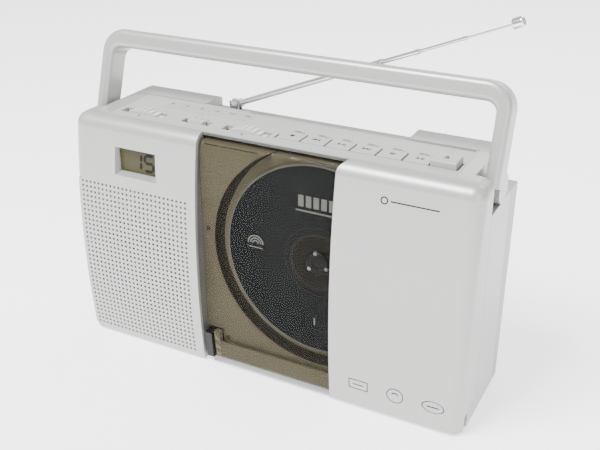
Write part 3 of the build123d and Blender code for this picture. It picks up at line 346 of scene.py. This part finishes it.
# ---------------------------------------------------------------- shape helpers
def finish_piece(mesh_data, name, material, body, bevel=0.0):
    """Make an object from a bmesh, round its edges and put it on its body."""
    mesh = bpy.data.meshes.new(name)
    bmesh.ops.recalc_face_normals(mesh_data, faces=mesh_data.faces)
    mesh_data.to_mesh(mesh)
    mesh_data.free()
    piece = bpy.data.objects.new(name, mesh)
    bpy.context.scene.collection.objects.link(piece)
    mesh.materials.append(material)
    if bevel:
        rounding = piece.modifiers.new("rounding", "BEVEL")
        rounding.width = bevel
        rounding.segments = 2
        rounding.limit_method = "ANGLE"
    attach(piece, body)
    return piece


def add_prism(target, outline, place, thickness):
    """A closed prism: outline is in the place's own X and Y, and it grows along its Z."""
    low = [target.verts.new(place @ Vector((x, y, 0))) for x, y in outline]
    high = [target.verts.new(place @ Vector((x, y, thickness))) for x, y in outline]
    target.faces.new(list(reversed(low)))
    target.faces.new(high)
    count = len(outline)
    for i in range(count):
        j = (i + 1) % count
        target.faces.new((low[i], low[j], high[j], high[i]))


def add_ring(
    target, inner, outer, place, thickness, start=0.0, sweep=360.0, steps=64, squash=1.0, taper=0.0
):
    """A flat ring or an arc of one in the place's X and Y. An arc may taper at its ends."""
    full = sweep >= 360.0
    count = steps if full else steps + 1
    rows = []
    for i in range(count):
        angle = math.radians(start + sweep * i / steps)
        c, s = math.cos(angle), math.sin(angle) * squash
        share = min(1.0, 0.04 + min(i, steps - i) / steps / taper) if taper else 1.0
        edge = outer - (outer - inner) * share
        rows.append(
            [
                target.verts.new(place @ Vector((c * r, s * r, h)))
                for r, h in ((edge, 0), (outer, 0), (outer, thickness), (edge, thickness))
            ]
        )
    for i in range(steps):
        a, b = rows[i], rows[(i + 1) % count]
        for k in range(4):
            m = (k + 1) % 4
            target.faces.new((a[k], a[m], b[m], b[k]))
    if not full:
        target.faces.new(rows[0])
        target.faces.new(list(reversed(rows[-1])))


def add_lathe(target, profile, place, steps=48):
    """A closed profile of (radius, height) pairs turned about the place's Z."""
    rings = []
    for i in range(steps):
        angle = 2 * math.pi * i / steps
        c, s = math.cos(angle), math.sin(angle)
        rings.append([target.verts.new(place @ Vector((r * c, r * s, h))) for r, h in profile])
    count = len(profile)
    for i in range(steps):
        a, b = rings[i], rings[(i + 1) % steps]
        for k in range(count):
            m = (k + 1) % count
            target.faces.new((a[k], a[m], b[m], b[k]))


def facing(x, y, z, normal, up=UP):
    """A place whose Z points along normal, with its Y as near to up as it can be."""
    out = Vector(normal).normalized()
    across = Vector(up).cross(out).normalized()
    rise = out.cross(across)
    turn = Matrix((across, rise, out)).transposed().to_4x4()
    return Matrix.Translation((x, y, z)) @ turn


def bar(width, height, x=0.0, y=0.0):
    """A rectangle's outline about a point."""
    return [
        (x - width / 2, y - height / 2), (x + width / 2, y - height / 2),
        (x + width / 2, y + height / 2), (x - width / 2, y + height / 2),
    ]


def triangle(size, x=0.0, y=0.0, turn=0.0):
    """An equal-sided triangle's outline, pointing along +X before it is turned."""
    return [
        (x + size * math.cos(math.radians(turn + a)), y + size * math.sin(math.radians(turn + a)))
        for a in (0, 120, 240)
    ]


def on_front(x, z):
    """A place on the door's bowed front, found by looking for the surface along Y."""
    cover = frame["nodes"]["door_cover"]
    _, spot, normal, _ = cover.ray_cast(Vector((x, cad_box[0].y - 0.1, z)), Vector(NORTH))
    return facing(spot.x, spot.y, spot.z, normal)


# ---------------------------------------------------------------- display digits
SEGMENTS = {
    "top": (0, 1, 0), "middle": (0, 0, 0), "bottom": (0, -1, 0),
    "upper_left": (-1, 0.5, 90), "upper_right": (1, 0.5, 90),
    "lower_left": (-1, -0.5, 90), "lower_right": (1, -0.5, 90),
}
DIGITS = {
    "1": ("upper_right", "lower_right"),
    "5": ("top", "upper_left", "middle", "lower_right", "bottom"),
}
digit_w = 3.9 * MM
digit_h = 10.2 * MM
stroke = 1.9 * MM
slant = 0.1


def segment_outline(length, width):
    """A bar with pointed ends."""
    tip = width / 2
    return [
        (-length / 2, 0), (-length / 2 + tip, -tip), (length / 2 - tip, -tip),
        (length / 2, 0), (length / 2 - tip, tip), (-length / 2 + tip, tip),
    ]


lcd_low, lcd_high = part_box("lcd_glass")
lcd_centre = (lcd_low + lcd_high) / 2
digits = bmesh.new()
for digit, offset in (("1", -1.6 * MM), ("5", 7.4 * MM)):
    for name in DIGITS[digit]:
        sx, sy, turn = SEGMENTS[name]
        length = digit_h / 2 - 0.35 * MM if turn else digit_w * 1.55
        cos_t, sin_t = math.cos(math.radians(turn)), math.sin(math.radians(turn))
        middle = (sx * digit_w * 0.8, sy * digit_h / 2)
        outline = []
        for x, y in segment_outline(length, stroke):
            px = middle[0] + x * cos_t - y * sin_t
            py = middle[1] + x * sin_t + y * cos_t
            outline.append((px + py * slant, py))
        place = facing(lcd_centre.x + offset, lcd_low.y, lcd_centre.z, FRONT)
        add_prism(digits, outline, place, 0.05 * MM)
finish_piece(digits, "lcd_digits", ink, "case")

# ---------------------------------------------------------------- marks on the top panel
panel_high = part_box("top_panel")[1]
volume_low, volume_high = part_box("volume_wheel")
tuning_low, tuning_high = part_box("tuning_wheel")
switch_low, switch_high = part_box("switch_knob")
volume_x = (volume_low.x + volume_high.x) / 2
tuning_x = (tuning_low.x + tuning_high.x) / 2
switch_x = (switch_low.x + switch_high.x) / 2
control_y = (switch_low.y + switch_high.y) / 2
print_t = 0.06 * MM
panel_recess = 1.0 * MM


def top_place(x, y, z=None):
    return facing(x, y, panel_high.z if z is None else z, UP, NORTH)


panel_marks = bmesh.new()
for step in range(5):  # the volume's growing bars
    add_prism(
        panel_marks, bar(0.7 * MM, (0.8 + 0.5 * step) * MM),
        top_place(volume_x + (step - 2) * 1.6 * MM, control_y + 6.4 * MM), print_t,
    )
for side in (-1, 0, 1):  # the switch's three places
    spot = top_place(switch_x + side * 4.2 * MM, control_y + 5.6 * MM)
    add_prism(panel_marks, bar(1.8 * MM, 0.7 * MM), spot, print_t)
add_prism(panel_marks, triangle(1.2 * MM, turn=90), top_place(tuning_x, control_y - 6.0 * MM), print_t)
add_prism(panel_marks, triangle(1.2 * MM, turn=90), top_place(volume_x, control_y - 6.0 * MM), print_t)
finish_piece(panel_marks, "panel_marks", ink, "case")

scale_left = volume_low.x + 24 * MM
scale_right = tuning_x - 8.5 * MM
scale_y = control_y + 19.5 * MM
tick_count = 31
scale_marks = bmesh.new()
for i in range(tick_count):
    x = scale_left + (scale_right - scale_left) * i / (tick_count - 1)
    tall = 2.0 * MM if i % 5 == 0 else 1.1 * MM
    add_prism(scale_marks, bar(0.3 * MM, tall), top_place(x, scale_y), print_t)
finish_piece(scale_marks, "scale_marks", ink, "case")

for i, number in enumerate((88, 92, 96, 100, 104, 108)):
    curve = bpy.data.curves.new(f"dial_number_{number}", "FONT")
    curve.body = str(number)
    curve.size = 2.5 * MM
    curve.extrude = print_t / 2
    curve.align_x = "CENTER"
    label = bpy.data.objects.new(f"dial_number_{number}", curve)
    bpy.context.scene.collection.objects.link(label)
    x = scale_left + (scale_right - scale_left) * i / 5.5 + 1.5 * MM
    label.matrix_world = top_place(x, scale_y + 1.8 * MM, panel_high.z + print_t / 2)
    curve.materials.append(ink)
    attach(label, "case")

# ---------------------------------------------------------------- marks on and behind the keys
recess_z = panel_high.z - panel_recess
label_marks = bmesh.new()
for i in range(1, 7):
    low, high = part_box(f"key_{i}")
    x = (low.x + high.x) / 2
    for row, width in ((0, 7.0), (1, 4.6)):
        place = top_place(x - (7.0 - width) / 2 * MM, high.y + (3.2 + 1.5 * row) * MM, recess_z)
        add_prism(label_marks, bar(width * MM, 0.55 * MM), place, print_t)
finish_piece(label_marks, "key_labels", ink, "case")

KEY_SHAPES = {
    1: [bar(2.4, 2.4)],
    2: [bar(0.5, 2.6, -2.2), triangle(1.5, -0.6, 0, 180), triangle(1.5, 1.7, 0, 180)],
    3: [triangle(1.6, -1.2), bar(0.6, 2.6, 1.2), bar(0.6, 2.6, 2.4)],
    4: [bar(0.5, 2.6, 2.2), triangle(1.5, 0.6), triangle(1.5, -1.7)],
    5: [bar(3.2, 0.5, 0, 1.0), bar(3.2, 0.5, 0, 0.0), bar(3.2, 0.5, 0, -1.0)],
    6: [triangle(1.5, -0.9, 0, 90), triangle(1.5, 1.9, 0, 270)],
}
for i, shapes in KEY_SHAPES.items():
    low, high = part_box(f"key_{i}")
    symbol = bmesh.new()
    for outline in shapes:
        place = top_place((low.x + high.x) / 2, (low.y + high.y) / 2, high.z)
        add_prism(symbol, [(x * MM, y * MM) for x, y in outline], place, print_t)
    finish_piece(symbol, f"key_symbol_{i}", ink, f"key_{i}")

open_low, open_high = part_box("open_button")
open_symbol = bmesh.new()
open_y = (open_high.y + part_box("key_1")[0].y) / 2
open_place = top_place((open_low.x + open_high.x) / 2, open_y, open_high.z)
add_prism(open_symbol, triangle(1.7 * MM, 0, 0.7 * MM, 90), open_place, print_t)
add_prism(open_symbol, bar(3.2 * MM, 0.6 * MM, 0, -1.3 * MM), open_place, print_t)
finish_piece(open_symbol, "open_symbol", ink, "open_key")

# ---------------------------------------------------------------- door marks
cover_low, cover_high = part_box("door_cover")
mark_z = cover_low.z + 16 * MM
door_marks = bmesh.new()
frame_place = on_front(cover_low.x + 19 * MM, mark_z)
frame_bars = (
    (0, 3.2, 12, 0.5), (0, -3.2, 12, 0.5), (-5.8, 0, 0.5, 6.4), (5.8, 0, 0.5, 6.4), (0, 0, 7, 0.6),
)
for x, y, w, h in frame_bars:
    add_prism(door_marks, bar(w * MM, h * MM, x * MM, y * MM), frame_place, print_t)
circle_place = on_front(cover_low.x + 42 * MM, mark_z)
add_ring(door_marks, 4.7 * MM, 5.2 * MM, circle_place, print_t)
add_ring(door_marks, 1.6 * MM, 2.3 * MM, circle_place, print_t, start=20, sweep=140, steps=16)
oval_place = on_front(cover_low.x + 65 * MM, mark_z)
add_ring(door_marks, 6.2 * MM, 6.8 * MM, oval_place, print_t, squash=0.6)
add_prism(door_marks, bar(7.4 * MM, 0.8 * MM), oval_place, print_t)
finish_piece(door_marks, "door_marks", ink, "door")

badge = bmesh.new()
badge_place = on_front(cover_low.x + 44 * MM, cover_high.z - 15.5 * MM)
add_ring(badge, 1.5 * MM, 2.2 * MM, badge_place @ Matrix.Translation((-15 * MM, 0, 0)), print_t, steps=32)
add_prism(badge, bar(27 * MM, 0.7 * MM, 2 * MM, 0), badge_place, print_t)
finish_piece(badge, "door_badge", ink, "door")

# ---------------------------------------------------------------- disc print and rings
disc_place = facing(disc_centre.x, disc_low.y, disc_centre.z, FRONT)
disc_print = bmesh.new()
add_prism(disc_print, bar(30 * MM, 1.0 * MM, 1 * MM, 31 * MM), disc_place, print_t)
for i in range(6):
    add_prism(disc_print, bar(3.4 * MM, 7.0 * MM, (-11 + 4.8 * i) * MM, 37 * MM), disc_place, print_t)
for i in range(3):
    add_ring(
        disc_print, (1.4 + 1.6 * i) * MM, (2.2 + 1.6 * i) * MM,
        disc_place @ Matrix.Translation((-41 * MM, 3 * MM, 0)), print_t, sweep=180, steps=24,
    )
add_prism(disc_print, bar(9 * MM, 0.6 * MM, -41 * MM, 0.4 * MM), disc_place, print_t)
add_prism(disc_print, bar(0.7 * MM, 5.0 * MM, -2 * MM, -40 * MM), disc_place, print_t)
finish_piece(disc_print, "disc_print_marks", pale_ink, "spindle")

disc_rings = bmesh.new()
for inner, outer in ((16.6, 17.4), (21.6, 22.0)):
    add_ring(disc_rings, inner * MM, outer * MM, disc_place, 0.12 * MM, steps=96)
finish_piece(disc_rings, "disc_rings", shade_and_ring_dark, "spindle", bevel=0.03 * MM)

# ---------------------------------------------------------------- deck trim and painted well shade behind the window
deck_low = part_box("disc_deck")[0]
window_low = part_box("door_window")[0]
deck_marks = bmesh.new()
for dx, z in ((4.0, 93.8), (14.9, 19.4)):
    place = facing(deck_low.x + dx * MM, deck_low.y, z * MM, FRONT)
    add_ring(deck_marks, 0.9 * MM, 1.4 * MM, place, print_t, steps=24)
    add_prism(deck_marks, triangle(0.7 * MM), place, print_t)
finish_piece(deck_marks, "deck_marks", ink, "case")

well_depth = 4.6 * MM
well_r = 68.2 * MM
well_place = facing(disc_centre.x, deck_low.y + well_depth, disc_centre.z, FRONT)
# Painted shade: a dark arc on the well's floor, tapering at its ends, and a thin dark band on its wall,
# laid where the well's own wall shades the floor.
well_shade_mesh = bmesh.new()
add_ring(
    well_shade_mesh, 64.2 * MM, well_r, well_place, 0.1 * MM, steps=128, start=112, sweep=200, taper=0.2
)
add_ring(well_shade_mesh, well_r, 68.4 * MM, well_place, 4.2 * MM, steps=128, start=118, sweep=184)
finish_piece(well_shade_mesh, "well_shade", shade_and_ring_dark, "case")

# a sill closes the gap under the deck, and swings with the door
window = frame["nodes"]["door_window"]
sill_x0 = window_low.x + 6.5 * MM
sill_x1 = cover_low.x - 0.5 * MM
sill_low = cad_box[0].z + 5.2 * MM
sill_high = cad_box[0].z + 17.0 * MM
sill_rows = 10
sill_gap = 0.15 * MM
sill_t = 1.2 * MM
sill = bmesh.new()
sill_profile = []
for i in range(sill_rows + 1):
    z = sill_low + (sill_high - sill_low) * i / sill_rows
    _, spot, _, _ = window.ray_cast(Vector((0, 0, z)), Vector((0, -1, 0)))
    sill_profile.append((spot.y + sill_gap, z))
sill_outline = sill_profile + [(y + sill_t, z) for y, z in reversed(sill_profile)]
sill_place = Matrix(((0, 0, 1, sill_x0), (1, 0, 0, 0), (0, 1, 0, 0), (0, 0, 0, 1)))
add_prism(sill, sill_outline, sill_place, sill_x1 - sill_x0)
finish_piece(sill, "window_sill", taupe, "door")

# ---------------------------------------------------------------- blank label on the rear
label_t = 0.25 * MM
label_place = facing(44 * MM, cad_box[1].y - 0.45 * MM, 93.5 * MM, NORTH)
label = bmesh.new()
add_prism(label, bar(60 * MM, 24 * MM), label_place, label_t)
finish_piece(label, "rear_label", label_grey, "case", bevel=0.1 * MM)
label_lines = bmesh.new()
for row in range(4):
    wide = (52 - 7 * (row % 2)) * MM
    add_prism(
        label_lines, bar(wide, 0.35 * MM, (52 * MM - wide) / 2, (7.5 - 5 * row) * MM),
        label_place @ Matrix.Translation((0, 0, label_t)), print_t,
    )
finish_piece(label_lines, "rear_label_lines", ink, "case")

# ---------------------------------------------------------------- antenna collars
tilt_joint = next(j for j in frame["joints"] if j["name"] == "antenna_tilt")
slide_joint = next(j for j in frame["joints"] if j["name"] == "stage_2_slide")
antenna_root = Vector(tilt_joint["pos_m"])
antenna_way = Vector(slide_joint["axis"]).normalized()
collar_long = 3.0
collar_wall = 0.18
for name, body, tube in (
    ("antenna_base", "antenna_arm", 1.8),
    ("antenna_stage_2", "antenna_second", 1.4),
    ("antenna_stage_3", "antenna_third", 1.0),
):
    tube_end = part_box(name)[1]
    reach = (tube_end.x - antenna_root.x) / antenna_way.x - tube * MM * 0.4
    end = antenna_root + antenna_way * reach
    collar = bmesh.new()
    place = facing(*end, antenna_way, NORTH)
    profile = [
        (tube * MM, -collar_long * MM), ((tube + collar_wall) * MM, -2.8 * MM),
        ((tube + collar_wall) * MM, -0.6 * MM),
        (tube * MM, -0.2 * MM), ((tube - 0.3) * MM, -0.1 * MM), ((tube - 0.3) * MM, -0.6 * MM),
    ]
    add_lathe(collar, profile, place)
    finish_piece(collar, f"{name}_collar", chrome, body)

# ---------------------------------------------------------------- floor, light and camera
floor_mesh = bmesh.new()
bmesh.ops.create_grid(floor_mesh, x_segments=1, y_segments=1, size=6.0)
floor_data = bpy.data.meshes.new("floor")
floor_mesh.to_mesh(floor_data)
floor_mesh.free()
floor = bpy.data.objects.new("floor", floor_data)
bpy.context.scene.collection.objects.link(floor)
floor.location.z = cad_box[0].z
pale = Surface("floor", (0.93, 0.93, 0.93), 0.7, Emission_Color=(1, 1, 1, 1), Emission_Strength=1.3)
pale.vary_color(pale.noise(3.0), 0.01)
floor_data.materials.append(pale.material)

world = bpy.data.worlds.new("studio")
bpy.context.scene.world = world
world.use_nodes = True
world.node_tree.nodes["Background"].inputs["Color"].default_value = (1.0, 1.0, 1.0, 1.0)
world.node_tree.nodes["Background"].inputs["Strength"].default_value = 0.95


def soft_box(name, position, target, size, watts):
    """A large area light aimed at a point."""
    light = bpy.data.lights.new(name, "AREA")
    light.shape = "RECTANGLE"
    light.size, light.size_y = size
    light.energy = watts
    lamp = bpy.data.objects.new(name, light)
    bpy.context.scene.collection.objects.link(lamp)
    lamp.location = position
    lamp.rotation_euler = (Vector(target) - Vector(position)).to_track_quat("-Z", "Y").to_euler()


middle = (cad_box[0] + cad_box[1]) / 2
soft_box("key_light", (-0.35, -0.7, 1.4), middle, (0.6, 0.6), 60.0)
soft_box("fill_light", (0.9, -0.6, 0.5), middle, (0.8, 0.8), 5.0)
soft_box("rear_light", (0.2, 1.0, 0.9), middle, (1.0, 0.6), 12.0)

camera_azimuth = math.radians(27.408)
camera_elevation = math.radians(26.032)
camera_distance = 0.5155
camera_target = Vector((0.0182, -0.0144, 0.1013))
away = Vector(
    (
        math.sin(camera_azimuth) * math.cos(camera_elevation),
        -math.cos(camera_azimuth) * math.cos(camera_elevation),
        math.sin(camera_elevation),
    )
)
camera_data = bpy.data.cameras.new("camera")
camera_data.lens = 52.71
camera_data.sensor_width = 36.0
camera_data.clip_start = 0.01
camera = bpy.data.objects.new("camera", camera_data)
bpy.context.scene.collection.objects.link(camera)
camera.location = camera_target + away * camera_distance
camera.rotation_euler = (-away).to_track_quat("-Z", "Y").to_euler()
bpy.context.scene.camera = camera
